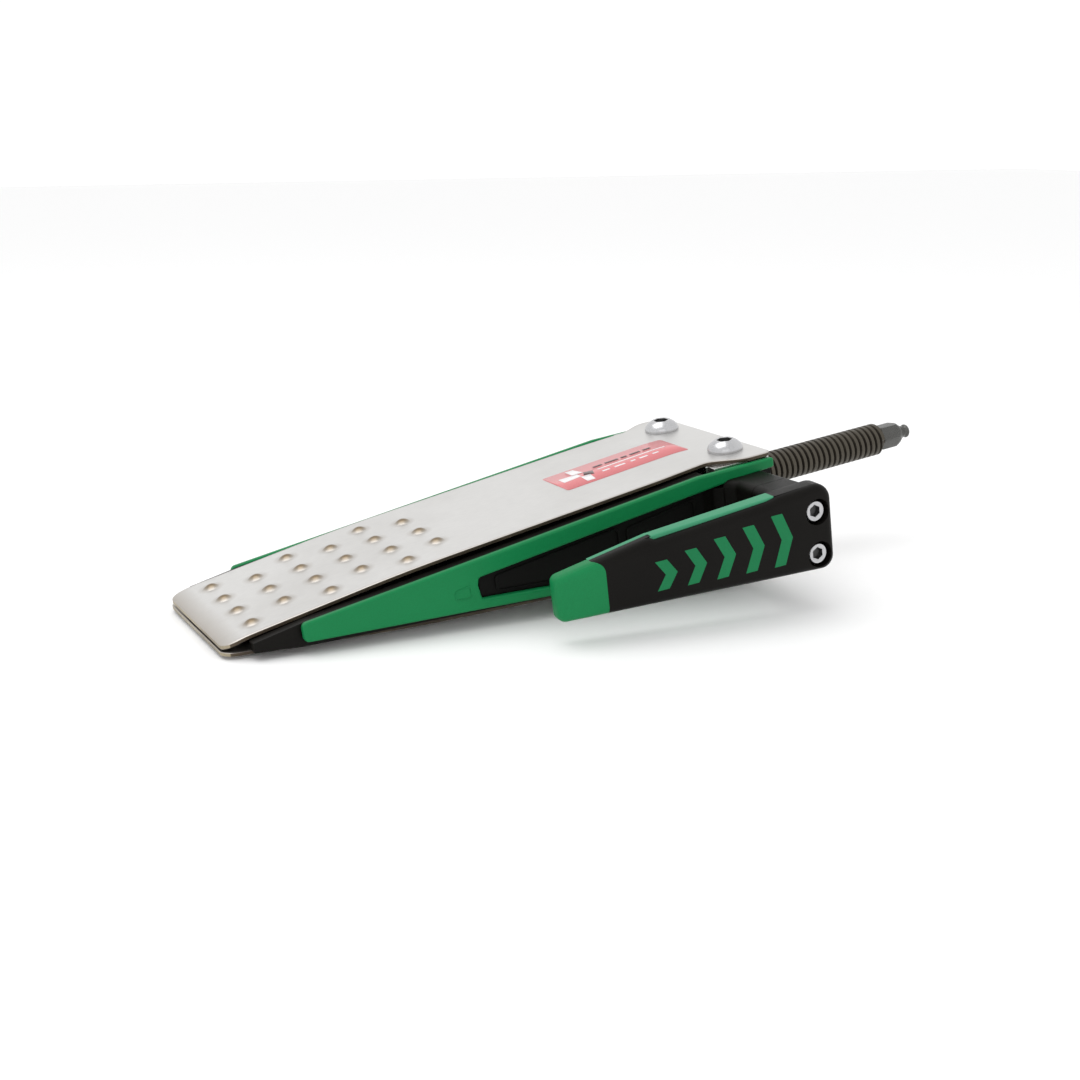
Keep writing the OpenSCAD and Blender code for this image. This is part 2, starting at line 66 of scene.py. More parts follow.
MM = 0.001
PIVOT_X = 300.0
NODES = frame["nodes"]
JOINTS = {joint["name"]: joint for joint in frame["record"]["behaviour"]["joints"]}
AXIS = Vector(JOINTS["nut_slide"]["axis"]).normalized()
UP = Vector(JOINTS["top_sheet_spread"]["axis"]).normalized()
ACROSS = Vector((0, 1, 0))
ORIGIN = Vector(JOINTS["spindle_turn"]["pos_m"]) - PIVOT_X * MM * AXIS
TOOL = Matrix.Translation(ORIGIN) @ Matrix((AXIS, ACROSS, UP)).transposed().to_4x4() @ Matrix.Scale(MM, 4)


def tool_box(node):
    """Lowest and highest corner of a CAD node in the tool's frame, in mm."""
    inverse = TOOL.inverted()
    points = [inverse @ v.co for v in NODES[node].data.vertices]
    low = Vector([min(p[i] for p in points) for i in range(3)])
    high = Vector([max(p[i] for p in points) for i in range(3)])
    return low, high


blade_low, blade_high = tool_box("sheet_blade_bottom")
top_low = tool_box("sheet_blade_top")[0]
head_low, head_high = tool_box("sheet_head_top")
strip_low_corner, strip_high = tool_box("side_strip_near")
bolt_low, bolt_high = tool_box("sheet_bolts")
nut_low, nut_high = tool_box("lock_nuts")
washer_low, washer_high = tool_box("nut_washers")
thread_low, thread_high = tool_box("spindle_thread")
hex_low, hex_high = tool_box("drive_hex")
stub_low, stub_high = tool_box("pilot_stub")
flange_high = tool_box("bronze_nut")[1]
cover_high = tool_box("bearing_cover")[1]

HALF_W = blade_high.y
HEAD_X = head_low.x - 0.2
HEAD_HW = head_high.y
HEAD_Z = head_high.z
SHEET_T = head_high.z - head_low.z
SHEET_END = head_high.x
TIP_H = 3.15
DIP_Z = 2.0
DIP_X = 14.0
KNEE_X = 103.0
KNEE_Z = 15.8
NECK_HW = 48.4

BUMP_X0 = 22.1
BUMP_STEP = 22.07
BUMP_SIDE = 23.7
BUMP_ROWS = 6
BUMP_H = 2.0
BUMP_R = 4.7
TIP_R = 7.0

RAIL_IN = HALF_W + 0.4
RAIL_OUT = 57.2
STRIP_Y = 61.5
STRIP_TOP = 27.1
REAR_X = strip_high.x
BAY_X = 283.0
NOSE_X = 18.0

ARM_LEAN = math.radians(3.8)
ARM_Y0 = 107.5
ARM_LEN = 164.5
ARM_REAR = 323.5
ARM_T0 = 10.5
ARM_T1 = 15.0
ARM_TOP = (10.5, 19.2, 25.5)
ARM_LOW = (14.0, 23.6)
CAP_U = 28.2
EASE_U = 57.0
LINER_U = 131.0
LINER_T = 4.5
WALL = 4.2
SEAM_Y = -84.0
BRIDGE_Z = 21.5
NECK_Z = 17.8
ARM_X0 = ARM_REAR - ARM_LEN * math.cos(ARM_LEAN)
ARM = Matrix.Translation((ARM_X0, -ARM_Y0, 0)) @ Matrix.Rotation(-ARM_LEAN, 4, "Z")
SCREW_X = ARM_REAR - 9.7
SCREW_Y = -ARM_Y0 - (SCREW_X - ARM_X0) * math.tan(ARM_LEAN)
SCREW_ZS = (10.2, -13.8)

# ---- outlines ----


def line_through(points, reach):
    """A function of x that follows the points with each inner corner eased over reach on both sides."""
    slopes = [(b[1] - a[1]) / (b[0] - a[0]) for a, b in zip(points, points[1:])]

    def at(x):
        z = points[0][1] + slopes[0] * (x - points[0][0])
        for (corner_x, _), before, after, r in zip(points[1:-1], slopes, slopes[1:], reach):
            d = min(max(x - corner_x + r, 0), 2 * r)
            z += (after - before) * (d * d / (4 * r) + max(x - corner_x - r, 0))
        return z

    return at


def strip_z(x):
    return min(3.4 + 0.0857 * x, STRIP_TOP)


def strip_low(x):
    return min(0.0935 * x - 0.6, STRIP_TOP)


def window_z(x):
    return 5.1 + 0.0925 * (x - 138)


def window_low(x):
    return 6.4 + 0.1045 * (x - 138)


def rounded(points, radii, steps=5):
    """The closed outline with its corners rounded."""
    out = []
    count = len(points)
    for i, radius in enumerate(radii):
        b = Vector(points[i])
        if radius <= 0:
            out.append(tuple(b))
            continue
        to_a = (Vector(points[i - 1]) - b).normalized()
        to_c = (Vector(points[(i + 1) % count]) - b).normalized()
        half = math.acos(max(-1, min(1, to_a.dot(to_c)))) / 2
        middle = b + (to_a + to_c).normalized() * radius / math.sin(half)
        start = b + to_a * radius / math.tan(half) - middle
        end = b + to_c * radius / math.tan(half) - middle
        sweep = start.angle_signed(end)
        for k in range(steps + 1):
            turned = start.copy()
            turned.rotate(Matrix.Rotation(-sweep * k / steps, 2))
            out.append(tuple(middle + turned))
    return out


def both(points):
    """The outline closed by its mirror image below z = 0."""
    return list(points) + [(x, -z) for x, z in reversed(points)]


# ---- mesh building ----


def shell(bm, lower, upper):
    """A closed solid between two matching loops of points."""
    a = [bm.verts.new(p) for p in lower]
    b = [bm.verts.new(p) for p in upper]
    count = len(a)
    faces = [bm.faces.new(a), bm.faces.new(list(reversed(b)))]
    for i in range(count):
        j = (i + 1) % count
        faces.append(bm.faces.new((a[j], a[i], b[i], b[j])))
    return faces


def add_side(bm, outline, y0, y1):
    """An x-z outline extruded across y."""
    return shell(bm, [(x, y0, z) for x, z in outline], [(x, y1, z) for x, z in outline])


def add_plan(bm, outline, z0, z1):
    """An x-y outline extruded up z."""
    return shell(bm, [(x, y, z0) for x, y in outline], [(x, y, z1) for x, y in outline])


def inset_outline(points, reach, hard=()):
    """The closed outline moved inward by reach, except along the edges whose number is in hard."""
    count = len(points)
    area = sum(points[i - 1][0] * points[i][1] - points[i][0] * points[i - 1][1] for i in range(count))
    turn = 1 if area > 0 else -1
    lines = []
    for i in range(count):
        a = Vector(points[i])
        b = Vector(points[(i + 1) % count])
        way = (b - a).normalized()
        inward = Vector((-way.y, way.x)) * turn
        lines.append((inward, 0.0 if i in hard else reach))
    out = []
    for i in range(count):
        (n0, d0), (n1, d1) = lines[i - 1], lines[i]
        cross = n0.x * n1.y - n0.y * n1.x
        if abs(cross) < 0.02:
            move = (n0 + n1).normalized() * (d0 + d1) / 2
        else:
            move = Vector((d0 * n1.y - d1 * n0.y, d1 * n0.x - d0 * n1.x)) / cross
        out.append(tuple(Vector(points[i]) + move))
    return out


def add_soft_solid(bm, outline, place, start, stop, round_start, round_stop, hard=(), steps=5):
    """A solid between two depths whose edges are rounded, except along the hard edges of its outline."""
    loops = []
    ends = ((start, round_start, 1, range(steps + 1)), (stop, round_stop, -1, range(steps, -1, -1)))
    for depth, radius, sign, order in ends:
        for k in (order if radius > 0 else [steps]):
            angle = math.pi / 2 * k / steps
            inset = inset_outline(outline, radius * (1 - math.sin(angle)), hard)
            sunk = sign * radius * (1 - math.cos(angle))
            loops.append([bm.verts.new(place(a, b, depth(a) + sunk)) for a, b in inset])
    count = len(outline)
    bm.faces.new(loops[0])
    bm.faces.new(list(reversed(loops[-1])))
    for low, high in zip(loops, loops[1:]):
        for i in range(count):
            j = (i + 1) % count
            bm.faces.new((low[j], low[i], high[i], high[j]))


def hexagon(flats):
    """Radius of a hexagon of that width across flats, as a function of the angle."""

    def at(angle):
        return flats / 2 / math.cos((angle + math.pi / 6) % (math.pi / 3) - math.pi / 6)

    return at


def circle(radius):
    return lambda angle: radius


def smaller(one, other):
    return lambda angle: min(one(angle), other(angle))


def add_rings(bm, rings, place, count=48, closed=False):
    """Joins rings of points, each (radius function, height), turned about place's z axis."""
    loops = []
    for radius, height in rings:
        loop = []
        for k in range(count):
            angle = 2 * math.pi * k / count
            r = radius(angle)
            loop.append(bm.verts.new(place @ Vector((r * math.cos(angle), r * math.sin(angle), height))))
        loops.append(loop)
    pairs = list(zip(loops, loops[1:]))
    if closed:
        pairs.append((loops[-1], loops[0]))
    faces = []
    for low, high in pairs:
        for k in range(count):
            j = (k + 1) % count
            faces.append(bm.faces.new((low[k], low[j], high[j], high[k])))
    if not closed:
        faces.append(bm.faces.new(loops[0]))
        faces.append(bm.faces.new(loops[-1]))
    return faces


def along_x(x):
    return Matrix.Translation((x, 0, 0)) @ Matrix.Rotation(math.pi / 2, 4, "Y")


def piece(name, bm, materials, body, nodes=(), bevel=0.0, steps=3, sharp=35):
    """Turns a bmesh in tool mm into a finished object that rides on a body."""
    bmesh.ops.recalc_face_normals(bm, faces=bm.faces)
    mesh = bpy.data.meshes.new(name)
    bm.to_mesh(mesh)
    bm.free()
    mesh.transform(TOOL)
    return finish_piece(name, mesh, materials, body, nodes, bevel, steps, sharp)


def finish_piece(name, mesh, materials, body, nodes=(), bevel=0.0, steps=3, sharp=35):
    for material in materials:
        mesh.materials.append(material)
    mesh.shade_smooth()
    mesh.set_sharp_from_angle(angle=math.radians(sharp))
    obj = bpy.data.objects.new(name, mesh)
    bpy.context.scene.collection.objects.link(obj)
    if bevel > 0:
        add_bevel(obj, bevel, steps, sharp)
    if body:
        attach(obj, body)
    if nodes:
        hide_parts(*nodes)
    return obj


def add_bevel(obj, width, steps, sharp):
    modifier = obj.modifiers.new("edges", "BEVEL")
    modifier.width = width * MM
    modifier.segments = steps
    modifier.limit_method = "ANGLE"
    modifier.angle_limit = math.radians(sharp)
    modifier.harden_normals = True
    modifier.use_clamp_overlap = True


# ---- materials ----


def surface(name, base, rough, metallic=0.0, grain=900.0, bump=0.15, shade=0.12, rough_swing=0.1,
            stretch=(1, 1, 1), second=None, second_scale=30.0, second_amount=0.35, specular=0.5,
            sheen=0.0, coat=0.0, reflection_and_edge_tan=None):
    """A procedural finish: fine grain in bump and roughness, broad patches in colour and wear."""
    material = bpy.data.materials.new(name)
    material.use_nodes = True
    tree = material.node_tree
    nodes = tree.nodes
    links = tree.links
    shader = nodes["Principled BSDF"]
    shader.inputs["Metallic"].default_value = metallic
    shader.inputs["Specular IOR Level"].default_value = specular
    shader.inputs["Sheen Weight"].default_value = sheen
    shader.inputs["Coat Weight"].default_value = coat
    place = nodes.new("ShaderNodeTexCoord")
    scale = nodes.new("ShaderNodeMapping")
    scale.inputs["Scale"].default_value = stretch
    links.new(place.outputs["Object"], scale.inputs["Vector"])

    fine = nodes.new("ShaderNodeTexNoise")
    fine.inputs["Scale"].default_value = grain
    fine.inputs["Detail"].default_value = 4
    fine.inputs["Roughness"].default_value = 0.6
    links.new(scale.outputs["Vector"], fine.inputs["Vector"])

    broad = nodes.new("ShaderNodeTexNoise")
    broad.inputs["Scale"].default_value = second_scale
    broad.inputs["Detail"].default_value = 5
    links.new(place.outputs["Object"], broad.inputs["Vector"])

    tone = nodes.new("ShaderNodeMapRange")
    tone.inputs["From Min"].default_value = 0.3
    tone.inputs["From Max"].default_value = 0.7
    tone.inputs["To Min"].default_value = 1 - shade
    tone.inputs["To Max"].default_value = 1 + shade
    links.new(fine.outputs["Fac"], tone.inputs["Value"])

    patches = nodes.new("ShaderNodeMapRange")
    patches.inputs["From Min"].default_value = 0.42
    patches.inputs["From Max"].default_value = 0.72
    patches.inputs["To Max"].default_value = second_amount
    links.new(broad.outputs["Fac"], patches.inputs["Value"])

    mix = nodes.new("ShaderNodeMix")
    mix.data_type = "RGBA"
    mix.inputs["A"].default_value = (*base, 1)
    mix.inputs["B"].default_value = (*(second or [min(1, c * 1.25 + 0.01) for c in base]), 1)
    links.new(patches.outputs["Result"], mix.inputs["Factor"])
    colour = mix.outputs["Result"]

    # painted reflection: tan laid over the sheet's bumps as colour, with a tan tint near its edges and tips,
    # mixed in by a vertex mask
    if reflection_and_edge_tan:
        marked = nodes.new("ShaderNodeAttribute")
        marked.attribute_name = "reflection_and_edge_tan"
        tan_reflection_mix = nodes.new("ShaderNodeMix")
        tan_reflection_mix.data_type = "RGBA"
        tan_reflection_mix.inputs["B"].default_value = (*reflection_and_edge_tan, 1)
        links.new(marked.outputs["Fac"], tan_reflection_mix.inputs["Factor"])
        links.new(colour, tan_reflection_mix.inputs["A"])
        colour = tan_reflection_mix.outputs["Result"]

    toned = nodes.new("ShaderNodeMix")
    toned.data_type = "RGBA"
    toned.blend_type = "MULTIPLY"
    toned.inputs["Factor"].default_value = 1
    links.new(colour, toned.inputs["A"])
    links.new(tone.outputs["Result"], toned.inputs["B"])
    links.new(toned.outputs["Result"], shader.inputs["Base Color"])

    rougher = nodes.new("ShaderNodeMapRange")
    rougher.inputs["From Min"].default_value = 0.3
    rougher.inputs["From Max"].default_value = 0.7
    rougher.inputs["To Min"].default_value = max(0.03, rough - rough_swing)
    rougher.inputs["To Max"].default_value = min(1, rough + rough_swing)
    links.new(fine.outputs["Fac"], rougher.inputs["Value"])
    links.new(rougher.outputs["Result"], shader.inputs["Roughness"])

    relief = nodes.new("ShaderNodeBump")
    relief.inputs["Strength"].default_value = bump
    relief.inputs["Distance"].default_value = 0.0002
    links.new(fine.outputs["Fac"], relief.inputs["Height"])
    links.new(relief.outputs["Normal"], shader.inputs["Normal"])
    return material


BRUSHED = (0.12, 1, 1)
# its tan mix is a painted reflection on the bumps, plus a tan tint near the sheet's edges and tips
steel = surface("spring_steel", (0.66, 0.652, 0.638), 0.36, metallic=1.0, grain=700, bump=0.10, shade=0.05,
                rough_swing=0.07, stretch=BRUSHED, second=(0.56, 0.548, 0.53), second_scale=14,
                second_amount=0.65, reflection_and_edge_tan=(0.21, 0.155, 0.092))
steel_edge = surface("cut_steel_edge", (0.40, 0.35, 0.25), 0.45, metallic=0.9, grain=1500, bump=0.3,
                     shade=0.2, second=(0.20, 0.16, 0.11), second_scale=40, second_amount=0.8)
# a darker copy of the cut edge for the sheets' side edges: painted shade
shaded_sheet_side = surface("sheet_side_painted_shade", (0.055, 0.040, 0.026), 0.5, metallic=0.5, grain=1500, bump=0.3,
                     shade=0.2, second=(0.11, 0.085, 0.055), second_scale=60, second_amount=0.8)
bright = surface("bright_steel", (0.52, 0.52, 0.51), 0.30, metallic=1.0, grain=900, bump=0.12, shade=0.06,
                 rough_swing=0.08, stretch=BRUSHED, second=(0.42, 0.42, 0.41), second_scale=35)
zinc = surface("zinc_screw", (0.52, 0.52, 0.53), 0.24, metallic=1.0, grain=2200, bump=0.08, shade=0.06,
               rough_swing=0.06, second=(0.36, 0.36, 0.37), second_scale=120)
zinc_deep = surface("socket_shadow", (0.10, 0.10, 0.10), 0.5, metallic=0.8, grain=2200, bump=0.15,
                    second=(0.03, 0.03, 0.03), second_scale=150)
black = surface("black_nylon", (0.0042, 0.0036, 0.0029), 0.42, grain=1400, bump=0.22, shade=0.25,
                rough_swing=0.07, second=(0.0075, 0.0066, 0.0054), second_scale=22, second_amount=0.5,
                specular=0.1)
inset = surface("black_inset", (0.0048, 0.0046, 0.0042), 0.55, grain=1600, bump=0.25, shade=0.25,
                second=(0.007, 0.007, 0.006), second_scale=40, specular=0.08)
green = surface("green_plastic", (0.0048, 0.182, 0.056), 0.42, grain=1300, bump=0.14, shade=0.08,
                rough_swing=0.06, second=(0.0065, 0.208, 0.066), second_scale=18, second_amount=0.6,
                specular=0.16)
# a lighter copy of the green plastic for the liner: painted light for its faces lit from above
lit_green = surface("light_green", (0.040, 0.255, 0.130), 0.48, grain=1500, bump=0.16, shade=0.08,
               second=(0.052, 0.30, 0.158), second_scale=30, specular=0.25)
green_mark = surface("green_print", (0.008, 0.170, 0.060), 0.45, grain=2000, bump=0.12, shade=0.1,
                     second=(0.011, 0.20, 0.072), second_scale=60, specular=0.15)
dark = surface("dark_steel", (0.050, 0.043, 0.034), 0.42, metallic=0.6, grain=1800, bump=0.25, shade=0.25,
               rough_swing=0.12, second=(0.11, 0.095, 0.072), second_scale=70, second_amount=0.7)
crest = surface("thread_crest", (0.070, 0.061, 0.046), 0.40, metallic=0.6, grain=2000, bump=0.2, shade=0.25,
                rough_swing=0.12, second=(0.07, 0.06, 0.045), second_scale=90, second_amount=0.8)
hex_steel = surface("hexagon_steel", (0.10, 0.10, 0.095), 0.30, metallic=0.85, grain=1800, bump=0.2,
                    shade=0.2, rough_swing=0.1, second=(0.055, 0.055, 0.052), second_scale=80)
bearing = surface("bearing_steel", (0.80, 0.80, 0.80), 0.15, metallic=1.0, grain=1800, bump=0.05, shade=0.04,
                  rough_swing=0.05)
bronze = surface("bronze", (0.48, 0.30, 0.10), 0.30, metallic=1.0, grain=1200, bump=0.15, shade=0.12,
                 second=(0.33, 0.20, 0.07), second_scale=50)
red = surface("label_red", (0.64, 0.185, 0.195), 0.34, grain=1200, bump=0.06, shade=0.06, rough_swing=0.05,
              second=(0.67, 0.22, 0.23), second_scale=30, coat=0.3)
white = surface("label_white", (0.80, 0.78, 0.78), 0.32, grain=1200, bump=0.06, shade=0.05, rough_swing=0.05,
                coat=0.3)
ink = surface("label_ink", (0.06, 0.02, 0.02), 0.35, grain=1200, bump=0.06, shade=0.1, rough_swing=0.05,
              coat=0.3)

# ---- the spring-steel sheets ----

bumps = []
for row in range(BUMP_ROWS):
    count = 4 - row % 2
    for k in range(count):
        bumps.append((BUMP_X0 + BUMP_STEP * row, (k - (count - 1) / 2) * BUMP_SIDE))


def bump_at(x, y):
    """(height, closeness to the nearest bump's middle) of the pressed bumps."""
    near = min(math.hypot(x - bx, y - by) for bx, by in bumps)
    if near >= BUMP_R:
        return 0.0, max(0.0, 1 - (near - BUMP_R) / 3.0) * 0.25
    t = near / BUMP_R
    dome = (1 - t * t) ** 1.5 * (1 + 0.5 * t * t)
    return BUMP_H * dome, 1 - 0.8 * t**3


def half_width(x, start):
    """Half the sheet's width at x: rounded tips, a slight taper, then the flared head."""
    if x < start + TIP_R:
        return HALF_W - TIP_R + math.sqrt(max(0, TIP_R**2 - (start + TIP_R - x) ** 2))
    if x < HEAD_X:
        return HALF_W + (NECK_HW - HALF_W) * max(0, (x - HEAD_X + 30) / 30)
    t = min(1, (x - HEAD_X) / 24)
    width = NECK_HW + (HEAD_HW - NECK_HW) * t * t * (3 - 2 * t)
    corner = 5.0
    if x > SHEET_END - corner:
        width += math.sqrt(max(0, corner**2 - (x - SHEET_END + corner) ** 2)) - corner
    return width


def stations(start):
    """Where the sheet's cross rows stand."""
    out = [start, start + 0.3]
    out += [start + TIP_R * (1 - math.cos(math.radians(a))) for a in (22, 30, 38, 46, 55, 64, 73, 82, 90)]
    x = out[-1]
    while x < 142:
        x += 0.9
        out.append(x)
    while x < HEAD_X - 8:
        x += 3
        out.append(x)
    while x < SHEET_END - 6.5:
        x += 1.4
        out.append(x)
    out += [SHEET_END - 5 * (1 - math.sin(math.radians(a))) for a in (0, 15, 30, 45, 60, 72)]
    out += [SHEET_END - 0.25, SHEET_END]
    return sorted(out)


ROWS = 110
EDGE = 0.35


def build_sheet(name, side, start, path, nodes):
    """One sheet as a grid on both faces, with the bumps pressed through it, closed round its edge."""
    height = line_through(path, (5, 26, 5) if len(path) == 5 else (26, 5))
    across = [-1.0, None] + [-1 + 2 * k / ROWS for k in range(1, ROWS)] + [None, 1.0]
    bm = bmesh.new()
    reflection_and_edge_tan = bm.verts.layers.float.new("reflection_and_edge_tan")
    faces = {0: [], 1: []}
    xs = stations(start)
    for layer in (0, 1):
        for i, x in enumerate(xs):
            half = half_width(x, start)
            row = []
            for j, share in enumerate(across):
                if share is None:
                    y = (half - EDGE) * (-1 if j == 1 else 1)
                else:
                    y = share * half if abs(share) == 1 else share * (half - EDGE)
                on_edge = abs(share or 0) == 1 or i in (0, len(xs) - 1)
                lift, close = bump_at(x, y)
                drop = EDGE * 0.8 if on_edge else 0.0
                z = height(x) + lift - (drop if layer == 0 else SHEET_T - drop)
                vertex = bm.verts.new((x, y, side * z))
                # mask: painted tan reflection over each bump, and a tan tint along the side edges and the
                # front tip
                rim = max(0.0, 1 - (half - abs(y)) / 2.0) * 0.4
                tip = max(0.0, 1 - (x - start) / 12.0) * 0.5
                vertex[reflection_and_edge_tan] = max(close, rim, tip)
                row.append(vertex)
            faces[layer].append(row)
    for layer in (0, 1):
        grid = faces[layer]
        for i in range(len(xs) - 1):
            for j in range(len(across) - 1):
                bm.faces.new((grid[i][j], grid[i + 1][j], grid[i + 1][j + 1], grid[i][j + 1]))
    outer, inner = faces[0], faces[1]
    last = len(across) - 1
    loop_out = [outer[0][j] for j in range(last)] + [outer[i][last] for i in range(len(xs) - 1)]
    loop_out += [outer[-1][j] for j in range(last, 0, -1)] + [outer[i][0] for i in range(len(xs) - 1, 0, -1)]
    loop_in = [inner[0][j] for j in range(last)] + [inner[i][last] for i in range(len(xs) - 1)]
    loop_in += [inner[-1][j] for j in range(last, 0, -1)] + [inner[i][0] for i in range(len(xs) - 1, 0, -1)]
    for k, vertex in enumerate(loop_out):
        j = (k + 1) % len(loop_out)
        face = bm.faces.new((vertex, loop_out[j], loop_in[j], loop_in[k]))
        at_tip = vertex.co.x < start + 4 and loop_out[j].co.x < start + 4
        # side edges take the painted-shade material, the front tip edges the tan cut edge
        face.material_index = 2 if at_tip else 1
    obj = piece(name, bm, [steel, shaded_sheet_side, steel_edge], None, nodes=nodes, sharp=50)
    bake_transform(obj)
    return height


top_path = [(top_low.x, DIP_Z), (DIP_X, TIP_H + (KNEE_Z - TIP_H) * DIP_X / KNEE_X), (KNEE_X, KNEE_Z),
            (HEAD_X, HEAD_Z), (SHEET_END, HEAD_Z)]
bottom_path = [(blade_low.x, TIP_H + (KNEE_Z - TIP_H) * blade_low.x / KNEE_X), (KNEE_X, KNEE_Z),
               (HEAD_X, HEAD_Z), (SHEET_END, HEAD_Z)]
top_height = build_sheet("sheet_top", 1, top_low.x, top_path,
                         ("sheet_blade_top", "sheet_head_top"))
build_sheet("sheet_bottom", -1, blade_low.x, bottom_path,
            ("sheet_blade_bottom", "sheet_head_bottom"))

# ---- the printed label ----

LABEL_X0 = 218.0
LABEL_X1 = 299.0
LABEL_Y0 = -17.0
LABEL_Y1 = 15.0


def add_patch(bm, outline, lift, index):
    """A flat printed shape laid on the top sheet, sliced so that it follows the sheet's bend."""
    verts = [bm.verts.new((x, y, 0)) for x, y in outline]
    face = bm.faces.new(verts)
    face.material_index = index
    new = [face]
    for k in range(1, 60):
        x = LABEL_X0 + k * 2.0
        if min(p[0] for p in outline) < x < max(p[0] for p in outline):
            geometry = list({v for f in new for v in f.verts}) + list({e for f in new for e in f.edges}) + new
            cut = bmesh.ops.bisect_plane(bm, geom=geometry, plane_co=(x, 0, 0), plane_no=(1, 0, 0))
            new = [g for g in cut["geom"] if isinstance(g, bmesh.types.BMFace)]
    for vertex in {v for f in new for v in f.verts}:
        vertex.co.z = top_height(vertex.co.x) + lift


def bar(x0, x1, y0, y1):
    return [(x0, y0), (x1, y0), (x1, y1), (x0, y1)]


label = bmesh.new()
plate_outline = rounded(bar(LABEL_X0, LABEL_X1, LABEL_Y0, LABEL_Y1), [1.5] * 4)
add_patch(label, plate_outline, 0.10, 0)
sign_x = LABEL_X0 + 5
add_patch(label, [(sign_x, -3.5), (sign_x + 12, -2), (sign_x + 12, 3), (sign_x, 4.5)], 0.18, 1)
add_patch(label, [(sign_x + 9, 4), (sign_x + 16, 3), (sign_x + 14, 12.5), (sign_x + 9, 13)], 0.20, 1)
add_patch(label, [(sign_x + 10, -13), (sign_x + 15, -13.5), (sign_x + 17, -3.5), (sign_x + 11, -3)], 0.22, 1)
add_patch(label, [(sign_x + 13.5, -2), (sign_x + 19, -5), (sign_x + 21, 1), (sign_x + 16, 3)], 0.24, 2)
dash_x = LABEL_X0 + 29
for k, width in enumerate((6, 9, 4, 7, 5, 8)):
    if dash_x + width < LABEL_X1 - 3:
        add_patch(label, bar(dash_x, dash_x + width, 4.6, 6.8), 0.2, 2)
        add_patch(label, bar(dash_x, dash_x + width * 0.8, -6.6, -4.8), 0.2, 1)
    dash_x += width + 2
add_patch(label, bar(LABEL_X0 + 29, LABEL_X1 - 6, -0.6, 0.6), 0.2, 1)
label_piece = piece("label", label, [red, white, ink], None, nodes=("label_plate", "label_marks"))
solid = label_piece.modifiers.new("foil", "SOLIDIFY")
solid.thickness = 0.08 * MM
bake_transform(label_piece)

# ---- wedge body, strips and panels ----

body = bmesh.new()
core = both([(NOSE_X, 0.5), (NOSE_X + 2, 1.2), (BAY_X, 26.5)])
add_side(body, core, -RAIL_IN, RAIL_IN)
rail = both([(NOSE_X - 2.5, 2.6), (44, strip_z(44) - 0.6), (BAY_X, strip_z(BAY_X) - 0.8), (BAY_X, 20.4),
             (REAR_X, 20.4)])
add_side(body, rail, -RAIL_OUT, -RAIL_IN)
add_side(body, rail, RAIL_IN, RAIL_OUT)
add_plan(body, [(287, -RAIL_OUT + 1), (291, -STRIP_Y - 1), (320, -STRIP_Y - 1), (320, -RAIL_OUT + 1)],
         -NECK_Z, NECK_Z)
piece("body_shell", body, [black], "wedge", nodes=("wedge_body",), bevel=1.0)

bridge = bmesh.new()
bridge_plan = rounded([(291.5, -STRIP_Y - 0.3), (295.5, -69), (295.5, SEAM_Y + 0.15), (321.3, SEAM_Y + 0.15),
                       (320.5, -STRIP_Y - 0.3)], [0, 6, 0, 0, 0])
seam_edge = len(bridge_plan) - 3
add_soft_solid(bridge, bridge_plan, lambda x, y, z: (x, y, z), lambda x: -BRIDGE_Z, lambda x: BRIDGE_Z,
               4.5, 4.5, hard=(seam_edge, len(bridge_plan) - 1), steps=6)
piece("handle_bridge", bridge, [black], "wedge", sharp=45)


def strip_outline():
    """Side view of a strip: blunt front, forked round the window of the panel."""
    front = strip_low_corner.x
    points = [(front, -strip_low(front)), (front, strip_z(front)), (277, strip_z(277)), (REAR_X, STRIP_TOP),
              (REAR_X, 21.5), (287, window_z(287)), (138.4, window_z(139)), (137.4, window_z(139) - 4),
              (138.8, -window_low(139)), (281, -window_low(281)), (REAR_X, -21.5), (REAR_X, -STRIP_TOP),
              (297, -strip_low(297))]
    return rounded(points, [3, 3, 0, 1.5, 1.5, 0, 1.6, 0, 1.6, 0, 1.5, 1.5, 0])


def add_outline_frame(bm, outer_points, width, y0, y1):
    """A thin raised frame that follows a convex outline, width wide."""
    middle = Vector((sum(p[0] for p in outer_points), sum(p[1] for p in outer_points))) / len(outer_points)
    inner_points = []
    for p in outer_points:
        away = Vector(p) - middle
        inner_points.append(tuple(Vector(p) - away.normalized() * width))
    outer_a = [bm.verts.new((x, y0, z)) for x, z in outer_points]
    outer_b = [bm.verts.new((x, y1, z)) for x, z in outer_points]
    inner_a = [bm.verts.new((x, y0, z)) for x, z in inner_points]
    inner_b = [bm.verts.new((x, y1, z)) for x, z in inner_points]
    count = len(outer_points)
    for i in range(count):
        j = (i + 1) % count
        bm.faces.new((outer_a[i], outer_a[j], outer_b[j], outer_b[i]))
        bm.faces.new((outer_b[i], outer_b[j], inner_b[j], inner_b[i]))
        bm.faces.new((inner_b[i], inner_b[j], inner_a[j], inner_a[i]))
        bm.faces.new((inner_a[i], inner_a[j], outer_a[j], outer_a[i]))


